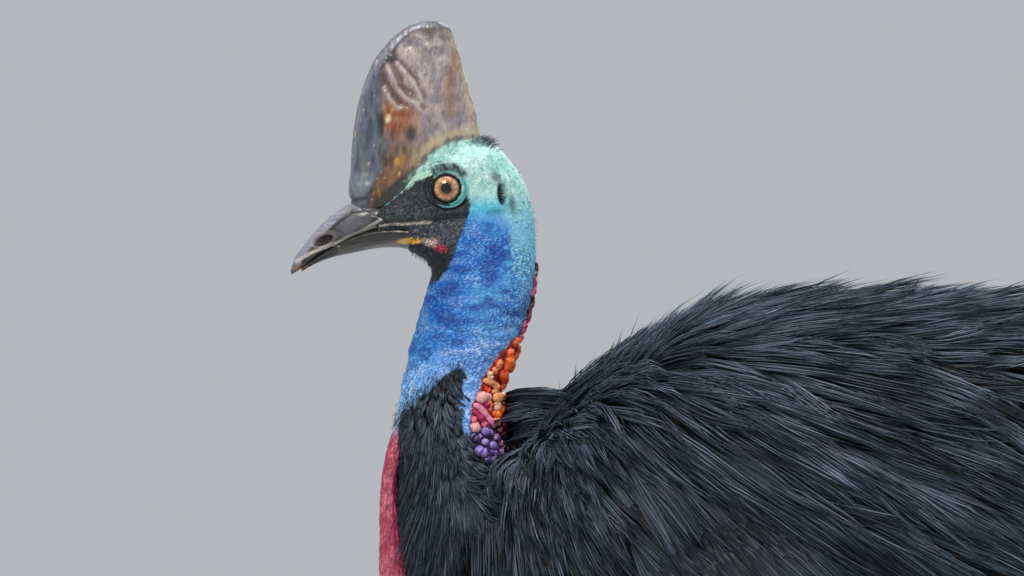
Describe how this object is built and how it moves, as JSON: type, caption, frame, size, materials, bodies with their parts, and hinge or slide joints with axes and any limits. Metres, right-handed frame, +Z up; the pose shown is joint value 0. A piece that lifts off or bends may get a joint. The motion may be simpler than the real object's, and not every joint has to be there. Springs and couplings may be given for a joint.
{
  "type": "southern cassowary model",
  "caption": "Life-size still model of a standing southern cassowary, a tall flightless bird with a horn casque, bare blue neck, red wattles and long black plumage.",
  "frame": {"origin": "on the floor under the middle of the whole bird's box", "axes": "+Z up, the bird faces -X, and its left side is towards -Y"},
  "size_m": [1.0902, 0.454, 1.2445],
  "materials": {
    "bare_skin": "wrinkled bare skin, blue to turquoise",
    "casque_horn": "worn horn, satin",
    "bill_horn": "smooth dark horn",
    "plumage": "long loose black feathers with a soft sheen",
    "eye": "wet and clear",
    "wattle_skin": "soft folded bare skin",
    "leg_scales": "dry scaled skin",
    "claw_horn": "worn dark horn"
  },
  "bodies": {
    "root": {"head": "bare_skin", "casque": "casque_horn", "bill_upper": "bill_horn", "bill_lower": "bill_horn", "neck_upper": "bare_skin", "neck_lower": "plumage", "torso": "plumage", "eye_left": "eye", "eye_right": "eye", "wattle_left": "wattle_skin", "wattle_right": "wattle_skin", "wing_left": "plumage", "wing_right": "plumage", "thigh_left": "plumage", "thigh_right": "plumage", "shank_left": "leg_scales", "shank_right": "leg_scales", "tarsus_left": "leg_scales", "tarsus_right": "leg_scales", "toe_middle_left": "leg_scales", "toe_inner_left": "leg_scales", "toe_outer_left": "leg_scales", "toe_middle_right": "leg_scales", "toe_inner_right": "leg_scales", "toe_outer_right": "leg_scales", "claw_middle_left": "claw_horn", "claw_inner_left": "claw_horn", "claw_outer_left": "claw_horn", "claw_middle_right": "claw_horn", "claw_inner_right": "claw_horn", "claw_outer_right": "claw_horn"}
  },
  "joints": []
}
